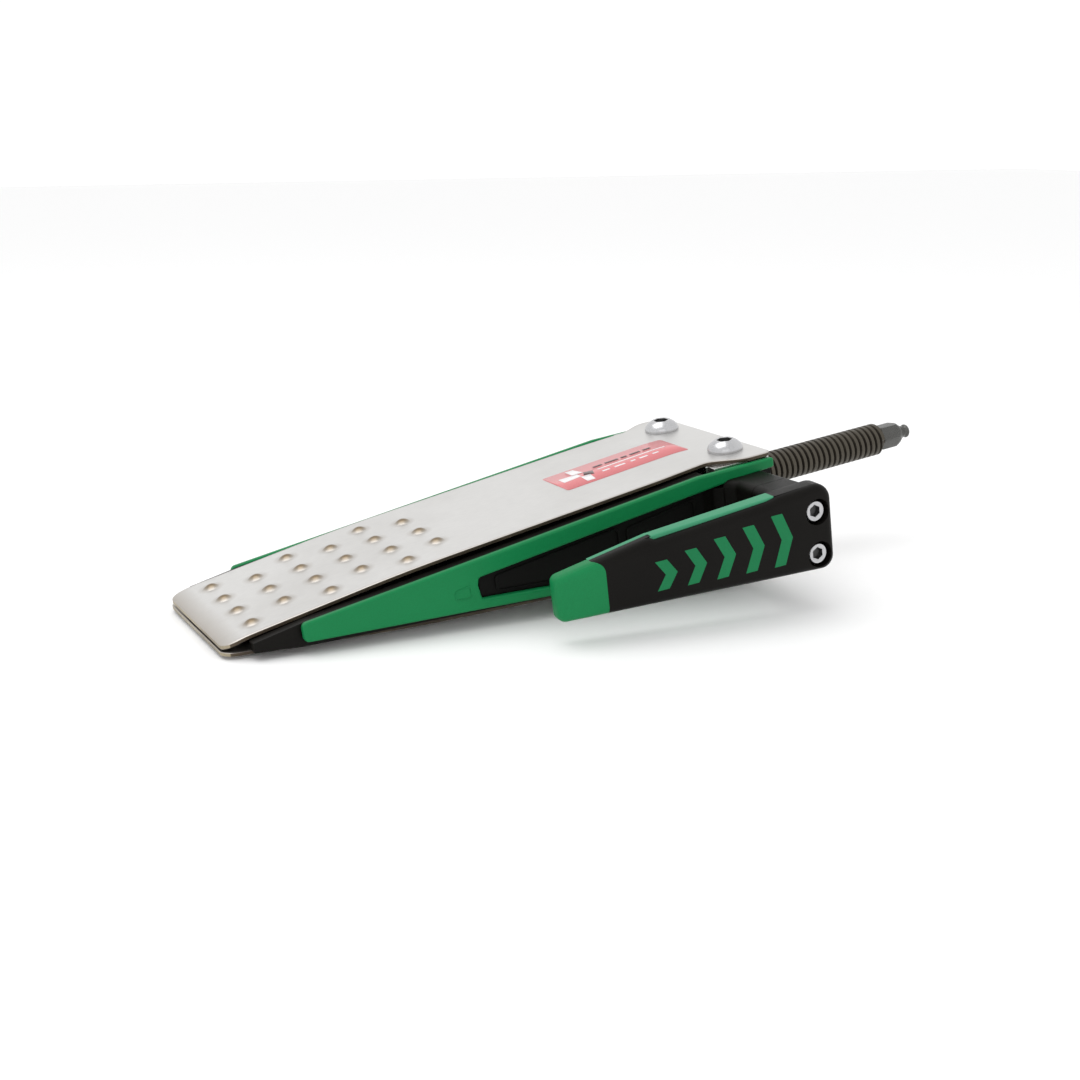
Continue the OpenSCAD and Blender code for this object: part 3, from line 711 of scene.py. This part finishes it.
for word, sign in (("near", -1), ("far", 1)):
    strip = bmesh.new()
    ends = sorted((sign * RAIL_OUT, sign * STRIP_Y))
    add_side(strip, strip_outline(), *ends)
    piece(f"strip_{word}", strip, [green], "wedge", nodes=(f"side_strip_{word}",), bevel=2.0, steps=6)
    tab = bmesh.new()
    tab_ends = sorted((sign * (STRIP_Y - 0.3), sign * (STRIP_Y + 0.28)))
    tab_outline = rounded([(123.5, -3.6), (123.5, 1.6), (133, 2.7), (133, -4.4)], [2, 2, 1, 1])
    add_outline_frame(tab, tab_outline, 0.7, *tab_ends)
    piece(f"strip_tab_{word}", tab, [green], "wedge")

    panel_end = REAR_X - 4 if sign > 0 else 280.0
    panel = bmesh.new()
    plate_ends = sorted((sign * RAIL_OUT, sign * (RAIL_OUT + 1.2)))
    end_low = -min(window_low(panel_end), 21.3) + 0.3
    add_side(panel, [(139, -window_low(139) + 0.3), (139, window_z(139) - 0.3),
                     (panel_end, window_z(panel_end) - 0.3), (panel_end, end_low)], *plate_ends)
    frame_ends = sorted((sign * (RAIL_OUT + 1), sign * (RAIL_OUT + 2.2)))
    add_outline_frame(panel, rounded([(148, -5), (148, 3.2), (225, window_z(225) - 2.4),
                                      (225, -window_low(225) + 2.6)], [2, 2, 3, 3]), 1.4, *frame_ends)
    add_outline_frame(panel, rounded([(229, -9), (229, 9), (panel_end - 6, window_z(panel_end - 6) - 2.6),
                                      (panel_end - 6, -13)], [3, 3, 2, 2]), 1.4, *frame_ends)
    piece(f"panel_{word}", panel, [inset], "wedge", nodes=(f"inset_panel_{word}",), bevel=0.4, steps=2)

# ---- side handle ----


def arm_top(u):
    if u < EASE_U:
        return ARM_TOP[0] + (ARM_TOP[1] - ARM_TOP[0]) * u / EASE_U
    return ARM_TOP[1] + (ARM_TOP[2] - ARM_TOP[1]) * (u - EASE_U) / (ARM_LEN - EASE_U)


def arm_low(u):
    return -ARM_LOW[0] - (ARM_LOW[1] - ARM_LOW[0]) * u / ARM_LEN


def arm_in(u):
    return ARM_T0 + (ARM_T1 - ARM_T0) * min(max(u, 0), ARM_LEN) / ARM_LEN


def on_arm(u, z, depth):
    return ARM @ Vector((u, depth, z))


ARM_ROUND = 4.0
BORE_R = 7.3



def carve(obj, cutter, operation):
    """The mesh of a solid after another solid is cut from it or kept from it."""
    cut = obj.modifiers.new("carve", "BOOLEAN")
    cut.object = cutter
    cut.operation = operation
    cut.solver = "EXACT"
    cut.use_self = True
    bpy.context.view_layer.update()
    depsgraph = bpy.context.evaluated_depsgraph_get()
    mesh = bpy.data.meshes.new_from_object(obj.evaluated_get(depsgraph))
    bpy.data.objects.remove(obj)
    mesh.materials.clear()
    return mesh


lap = CAP_U - 8
cap_region = rounded([(-20, arm_top(-20) + 0.25), (CAP_U, arm_top(CAP_U) + 0.25), (CAP_U - 0.6, -40),
                      (-20, -40)], [0, 6.8, 0, 0], 8)


def region_piece():
    """The part of the arm that belongs to the end cap: square below, rounded at the top corner."""
    bm = bmesh.new()
    add_soft_solid(bm, cap_region, on_arm, lambda u: -10.0, lambda u: 40.0, 0.0, 0.0)
    return piece("cap_region", bm, [black], None)


cap = bmesh.new()
past = CAP_U + 6
cap_side = rounded([(0, arm_top(0)), (past, arm_top(past)), (past, arm_low(past)), (0, arm_low(0))],
                   [4.2, 0, 0, 5], 6)
right_edge = cap_side.index(min(cap_side, key=lambda p: abs(p[0] - past) + abs(p[1] - arm_top(past))))
add_soft_solid(cap, cap_side, on_arm, lambda u: 0.0, arm_in, ARM_ROUND, 3.2, hard=(right_edge,), steps=6)
region = region_piece()
cap_mesh = carve(piece("cap", cap, [green], None), region, "INTERSECT")
finish_piece("arm_cap", cap_mesh, [green], "wedge", nodes=("handle_cap",), bevel=0.3, steps=2, sharp=60)

arm = bmesh.new()
step = 2.1
top_line = [(EASE_U - 4, arm_top(EASE_U - 4)), (EASE_U - 1, arm_top(EASE_U - 1) - 0.5),
            (EASE_U + 1.5, arm_top(EASE_U + 1.5) - step), (LINER_U - 5, arm_top(LINER_U - 5) - 1.3),
            (LINER_U + 1, arm_top(LINER_U) - 0.2)]
rear = rounded([(LINER_U, arm_top(LINER_U)), (ARM_LEN, arm_top(ARM_LEN)), (ARM_LEN, arm_low(ARM_LEN)),
                (LINER_U, arm_low(LINER_U))], [0, 9, 7.5, 0], 8)
outer_face = [(lap, arm_top(lap))] + top_line + rear[1:-1] + [(lap, arm_low(lap))]
add_soft_solid(arm, outer_face, on_arm, lambda u: 0.0, lambda u: WALL, ARM_ROUND, 0.0,
               hard=(len(outer_face) - 1,), steps=6)
front_part = [(lap, arm_top(lap)), (EASE_U, arm_top(EASE_U)), (EASE_U, arm_low(EASE_U)), (lap, arm_low(lap))]
add_soft_solid(arm, front_part, on_arm, lambda u: WALL - 0.3, lambda u: arm_in(u) - LINER_T, 0.0, 0.0)
add_soft_solid(arm, rear, on_arm, lambda u: WALL - 0.3, arm_in, 0.0, 2.5, hard=(len(rear) - 1,), steps=4)
joint_plan = rounded([(295.5, SEAM_Y - 0.15), (295.5, -95), (289, -104), (316, -112), (322, -106),
                      (321.3, SEAM_Y - 0.15)], [0, 7, 0, 0, 0, 0])
add_soft_solid(arm, joint_plan, lambda x, y, z: (x, y, z), lambda x: -BRIDGE_Z, lambda x: BRIDGE_Z, 4.5, 4.5,
               hard=(len(joint_plan) - 1, len(joint_plan) - 3, len(joint_plan) - 4), steps=6)
arm_piece = piece("arm", arm, [black], None)

bores = bmesh.new()
for z in SCREW_ZS:
    place = Matrix.Translation((SCREW_X, SCREW_Y - 3, z)) @ Matrix.Rotation(-math.pi / 2, 4, "X")
    add_rings(bores, [(circle(BORE_R), 0), (circle(BORE_R), 11.0)], place)
bore_piece = piece("bores", bores, [black], None)
bored = finish_piece("bored", carve(arm_piece, bore_piece, "DIFFERENCE"), [black], None)
bpy.data.objects.remove(bore_piece)
arm_mesh = carve(bored, region, "DIFFERENCE")
finish_piece("arm_shell", arm_mesh, [black], "wedge", nodes=("handle_arm",), bevel=0.5, steps=3, sharp=48)

liner = bmesh.new()
add_soft_solid(liner, front_part, on_arm, lambda u: arm_in(u) - LINER_T, arm_in, 0.0, 1.6, hard=(3,))
long_part = [(EASE_U - 1, arm_top(EASE_U - 1)), (EASE_U, arm_top(EASE_U)),
             (LINER_U - 2.5, arm_top(LINER_U - 2.5)), (LINER_U, arm_top(LINER_U)),
             (LINER_U - 1, arm_low(LINER_U) + 1), (EASE_U - 1, arm_low(EASE_U) + 1)]
add_soft_solid(liner, long_part, on_arm, lambda u: WALL - 0.5, arm_in, 0.8, 2.0)
liner_mesh = carve(piece("liner", liner, [lit_green], None), region, "DIFFERENCE")
finish_piece("arm_liner", liner_mesh, [lit_green], "wedge", nodes=("handle_liner",), bevel=0.3, steps=2, sharp=60)
bpy.data.objects.remove(region)


def add_arm_slab(bm, outline, depth_out, depth_in):
    """A slab of the arm between two depths."""
    lower = [on_arm(u, z, depth_out) for u, z in outline]
    upper = [on_arm(u, z, depth_in) for u, z in outline]
    return shell(bm, lower, upper)


marks = bmesh.new()
for i in range(5):
    u = 56 + i * 17.5
    z = -2 + i * 0.5
    tall = 8 + i * 1.6
    chevron = [(u, z - tall), (u + 7, z - tall), (u + 12.5, z), (u + 7, z + tall), (u, z + tall),
               (u + 5.5, z)]
    add_arm_slab(marks, chevron, -0.12, 0.3)
piece("arm_marks", marks, [green_mark], "wedge", nodes=("handle_graphic",), bevel=0.15, steps=2)

# ---- screws, bolts and nuts ----


def add_socket_screw(bm, place, radius, height, flats, depth, shank, length):
    """A cap screw whose head stands on z = 0 of place and whose shank runs below it."""
    rim = 0.9
    hexa = hexagon(flats)
    rings = [(circle(shank * 0.8), -length), (circle(shank), -length + shank * 0.25), (circle(shank), 0),
             (circle(radius * 0.94), 0), (circle(radius), 0.5), (circle(radius), height - rim),
             (circle(radius - rim), height), (circle(flats / 2 / math.cos(math.pi / 6) + 0.35), height),
             (hexa, height - 0.35)]
    faces = add_rings(bm, rings, place)
    floor_z = height - depth
    walls = add_rings(bm, [(hexa, height - 0.35), (hexa, floor_z), (circle(flats * 0.42), floor_z),
                           (circle(flats * 0.1), floor_z - 0.8)], place)
    bmesh.ops.delete(bm, geom=[faces[-1], walls[-2]], context="FACES_ONLY")
    for face in walls[:-2] + walls[-1:]:
        face.material_index = 1


screws = bmesh.new()
for z in SCREW_ZS:
    place = Matrix.Translation((SCREW_X, SCREW_Y + 8.0, z)) @ Matrix.Rotation(math.pi / 2, 4, "X")
    add_socket_screw(screws, place, 6.2, 6.0, 6.0, 3.6, 4.0, 36.0)
bmesh.ops.remove_doubles(screws, verts=screws.verts, dist=0.001)
piece("arm_screws", screws, [zinc, zinc_deep], "wedge", nodes=("handle_screws",), sharp=40)

BOLT_R = 10.25
bolts = bmesh.new()
for side in (-1, 1):
    place = Matrix.Translation((bolt_low.x + (bolt_high.x - bolt_low.x) / 2, side * 34.6, HEAD_Z))
    dome = [(0.0, 10.05), (0.45, BOLT_R), (1.3, BOLT_R), (2.3, 9.9), (3.4, 9.25), (4.4, 8.3), (5.3, 7.2),
            (5.95, 6.1), (6.3, 5.45)]
    rings = [(circle(4.6), -HEAD_Z - 45.7), (circle(5.6), -HEAD_Z - 44.7), (circle(5.6), -HEAD_Z - 34),
             (circle(6), -HEAD_Z - 33), (circle(6), 0)]
    rings += [(circle(r), h) for h, r in dome]
    rings += [(hexagon(8), 6.1)]
    shell_faces = add_rings(bolts, rings, place)
    walls = add_rings(bolts, [(hexagon(8), 6.1), (hexagon(8), 2.8), (circle(3.3), 2.8), (circle(0.8), 1.9)],
                      place)
    bmesh.ops.delete(bolts, geom=[shell_faces[-1], walls[-2]], context="FACES_ONLY")
    for face in walls[:-2] + walls[-1:]:
        face.material_index = 1
bmesh.ops.remove_doubles(bolts, verts=bolts.verts, dist=0.001)
piece("sheet_bolts", bolts, [zinc, zinc_deep], "nut_carriage", nodes=("sheet_bolts",), sharp=32)

hardware = bmesh.new()
washers = bmesh.new()
for side in (-1, 1):
    middle_x = (bolt_low.x + bolt_high.x) / 2
    place = Matrix.Translation((middle_x, side * 34.6, nut_low.z))
    tall = nut_high.z - nut_low.z
    hexa = hexagon(18.8)
    add_rings(hardware, [(circle(6.1), 0.4), (circle(7.4), 0), (circle(8.3), 0.7), (circle(8.4), 2.4),
                         (smaller(hexa, circle(9.6)), 2.4), (smaller(hexa, circle(10.8)), 3.3),
                         (smaller(hexa, circle(10.8)), tall - 1.0), (smaller(hexa, circle(9.9)), tall),
                         (circle(6.1), tall)], place, closed=True)
    place = Matrix.Translation((middle_x, side * 34.6, washer_low.z))
    thick = washer_high.z - washer_low.z
    add_rings(washers, [(circle(6.1), 0.0), (circle(11.7), 0.0), (circle(12), 0.35),
                        (circle(12), thick - 0.35), (circle(11.7), thick), (circle(6.1), thick)],
              place, closed=True)
piece("lock_nuts", hardware, [zinc], "nut_carriage", nodes=("lock_nuts",))
piece("nut_washers", washers, [bright], "nut_carriage", nodes=("nut_washers",))

flange_screws = bmesh.new()
cover_heads = bmesh.new()
for i in range(4):
    spot = Matrix.Rotation(math.pi / 4 + i * math.pi / 2, 4, "X")
    turned = Matrix.Rotation(math.pi / 2, 4, "Y")
    add_socket_screw(flange_screws, spot @ Matrix.Translation((flange_high.x, 0, 18.4)) @ turned,
                     3.2, 2.2, 3.0, 1.5, 1.7, 4.0)
    add_socket_screw(cover_heads, spot @ Matrix.Translation((cover_high.x, 0, 14.6)) @ turned,
                     3.0, 2.0, 2.5, 1.3, 1.6, 5.0)
dark_screws = ((flange_screws, "nut_screws", "nut_carriage"), (cover_heads, "cover_screws", "wedge"))
for bm, name, rider in dark_screws:
    bmesh.ops.remove_doubles(bm, verts=bm.verts, dist=0.001)
    piece(name, bm, [dark, zinc_deep], rider, nodes=(name,), sharp=40)

# ---- spindle ----

PITCH = 4.0
CREST_R = 9.98
ROOT_R = 7.75
TURN_STEPS = 48
PROFILE = ((0.0, ROOT_R), (0.15, ROOT_R), (0.27, CREST_R - 0.25), (0.31, CREST_R), (0.85, CREST_R),
           (0.89, CREST_R - 0.25))

thread = bmesh.new()
start = thread_low.x
end = thread_high.x
turns = int((end - start) / PITCH) + 2
grid = []
for turn in range(-1, turns):
    for offset, radius in PROFILE:
        row = []
        for k in range(TURN_STEPS):
            x = start + (turn + offset + k / TURN_STEPS) * PITCH
            angle = 2 * math.pi * k / TURN_STEPS
            inside = start + 0.6 < x < end - 1.6
            x = min(max(x, start), end)
            r = radius if inside else ROOT_R - (0.6 if x >= end - 0.2 else 0.0)
            row.append(thread.verts.new((x, r * math.cos(angle), r * math.sin(angle))))
        grid.append(row)
size = len(PROFILE)
for i in range(len(grid) - 1):
    for k in range(TURN_STEPS):
        if k + 1 < TURN_STEPS:
            corners = (grid[i][k], grid[i + 1][k], grid[i + 1][k + 1], grid[i][k + 1])
        elif i + 1 + size < len(grid):
            corners = (grid[i][k], grid[i + 1][k], grid[i + 1 + size][0], grid[i + size][0])
        else:
            continue
        face = thread.faces.new(corners)
        if i % size == 3:
            face.material_index = 1
bmesh.ops.remove_doubles(thread, verts=thread.verts, dist=0.002)
bmesh.ops.dissolve_degenerate(thread, dist=0.001, edges=thread.edges)
bmesh.ops.holes_fill(thread, edges=thread.edges, sides=0)
piece("spindle_thread", thread, [dark, crest], "spindle", nodes=("spindle_thread",), sharp=40)

drive = bmesh.new()
length = hex_high.x - hex_low.x
hexa = hexagon(14)
add_rings(drive, [(circle(7.0), 0), (smaller(hexa, circle(7.6)), 0.25), (hexa, 0.9), (hexa, length - 4.2),
                  (smaller(hexa, circle(7.5)), length - 3.1), (smaller(hexa, circle(6.9)), length - 2.0),
                  (circle(6.1), length - 0.9), (circle(5.4), length)], along_x(hex_low.x))
piece("drive_hexagon", drive, [hex_steel], "spindle", nodes=("drive_hex",), sharp=28)

stub = bmesh.new()
long = stub_high.x - stub_low.x
add_rings(stub, [(circle(r), h) for h, r in ((-0.2, 4.2), (1.9, 4.2), (2.1, 4.05), (2.8, 3.3), (3.0, 3.2),
                                            (4.4, 3.2), (4.6, 3.3), (5.3, 4.05), (5.5, 4.2),
                                            (long - 1.0, 4.2), (long - 0.6, 4.05), (long - 0.1, 3.55),
                                            (long, 3.3))],
          along_x(stub_low.x))
piece("grooved_stub", stub, [hex_steel], "spindle", nodes=("pilot_stub",), sharp=30)

# ---- CAD nodes that show as they are ----


def dress(node, material, width):
    """Gives a CAD node its finish, welded and slightly bevelled."""
    obj = NODES[node]
    obj.data.materials.clear()
    obj.data.materials.append(material)
    weld = obj.modifiers.new("weld", "WELD")
    weld.merge_threshold = 0.00001
    add_bevel(obj, width, 2, 35)


for node, material, width in (
    ("nut_block", bright, 0.6),
    ("bronze_nut", bronze, 0.4),
    ("bearing_cover", bright, 0.4),
    ("thrust_seat", bright, 0.4),
    ("thrust_race", bearing, 0.2),
    ("thrust_cage", bronze, 0.15),
    ("thrust_balls", bearing, 0.0),
    ("handle_inserts", bronze, 0.2),
    ("spindle_journal", dark, 0.3),
    ("thrust_collar", dark, 0.3),
    ("collar_ring", dark, 0.2),
):
    dress(node, material, width)

# ---- floor, light and camera ----

low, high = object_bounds()
floor_mesh = bpy.data.meshes.new("floor")
FLOOR = 6.0
floor_mesh.from_pydata([(-FLOOR, -FLOOR, low[2]), (FLOOR, -FLOOR, low[2]), (FLOOR, FLOOR, low[2]),
                        (-FLOOR, FLOOR, low[2])], [], [(0, 1, 2, 3)])
floor = bpy.data.objects.new("floor", floor_mesh)
bpy.context.scene.collection.objects.link(floor)
paper = surface("floor_paper", (0.93, 0.93, 0.93), 0.75, grain=300, bump=0.02, shade=0.005,
                rough_swing=0.04, second=(0.94, 0.94, 0.94), specular=0.1)
floor_mesh.materials.append(paper)

world = bpy.data.worlds.new("studio")
bpy.context.scene.world = world
bpy.context.scene.view_settings.view_transform = "Standard"
world.use_nodes = True
world.node_tree.nodes["Background"].inputs["Color"].default_value = (1, 1, 1, 1)
world.node_tree.nodes["Background"].inputs["Strength"].default_value = 1.04


def softbox(name, spot, aim, size, power):
    light = bpy.data.lights.new(name, "AREA")
    light.shape = "RECTANGLE"
    light.size = size[0]
    light.size_y = size[1]
    light.energy = power
    obj = bpy.data.objects.new(name, light)
    obj.location = spot
    obj.rotation_euler = (Vector(aim) - Vector(spot)).to_track_quat("-Z", "Y").to_euler()
    bpy.context.scene.collection.objects.link(obj)


softbox("key", (-0.5, 0.3, 1.5), (0, 0, 0), (1.2, 1.2), 7)
softbox("front", (-0.9, -1.5, 0.9), (0, 0, 0.03), (1.4, 0.9), 1.5)

CAMERA_FROM_TIPS = Vector((-0.20828, -0.793995, 0.25477))
YAW = math.radians(62.57)
PITCH_DOWN = math.radians(14.6)
camera_data = bpy.data.cameras.new("camera")
camera_data.lens = 53.88
camera_data.sensor_width = 36
camera_data.clip_start = 0.01
camera = bpy.data.objects.new("camera", camera_data)
camera.location = ORIGIN + CAMERA_FROM_TIPS
level = math.cos(PITCH_DOWN)
look = Vector((math.cos(YAW) * level, math.sin(YAW) * level, -math.sin(PITCH_DOWN)))
camera.rotation_euler = look.to_track_quat("-Z", "Y").to_euler()
bpy.context.scene.collection.objects.link(camera)
bpy.context.scene.camera = camera
